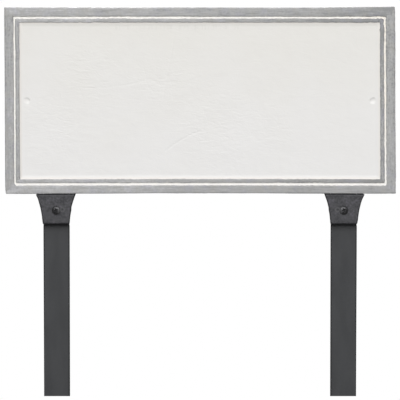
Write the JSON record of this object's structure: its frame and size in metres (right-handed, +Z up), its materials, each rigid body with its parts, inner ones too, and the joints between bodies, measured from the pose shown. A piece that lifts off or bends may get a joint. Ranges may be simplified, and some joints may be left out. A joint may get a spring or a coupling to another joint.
{
  "type": "lawn plaque",
  "caption": "Cast rectangular lawn plaque with a painted border and blank field, carried on flat stakes by fishtail brackets bolted on with pan head screws.",
  "frame": {"origin": "at ground level, on the plane of the stakes' square ends, midway between the stakes and at mid depth", "axes": "+Z up, -Y towards the viewer of the plaque's painted face, +X to that viewer's right"},
  "size_m": [0.384, 0.022, 0.3815],
  "materials": {
    "off_white_paint": "satin",
    "charcoal_paint": "satin",
    "black_finish": "satin",
    "zinc_plate": "satin"
  },
  "bodies": {
    "root": {"plaque": "off_white_paint", "left_bracket": "charcoal_paint", "right_bracket": "charcoal_paint", "left_stake": "charcoal_paint", "right_stake": "charcoal_paint", "left_stake_bolt": "black_finish", "right_stake_bolt": "black_finish", "left_stake_washer": "zinc_plate", "right_stake_washer": "zinc_plate", "left_stake_lock_washer": "zinc_plate", "right_stake_lock_washer": "zinc_plate", "left_stake_nut": "zinc_plate", "right_stake_nut": "zinc_plate", "left_bracket_outer_screw": "zinc_plate", "left_bracket_inner_screw": "zinc_plate", "right_bracket_inner_screw": "zinc_plate", "right_bracket_outer_screw": "zinc_plate", "left_bracket_outer_lock_washer": "zinc_plate", "left_bracket_inner_lock_washer": "zinc_plate", "right_bracket_inner_lock_washer": "zinc_plate", "right_bracket_outer_lock_washer": "zinc_plate"}
  },
  "joints": []
}
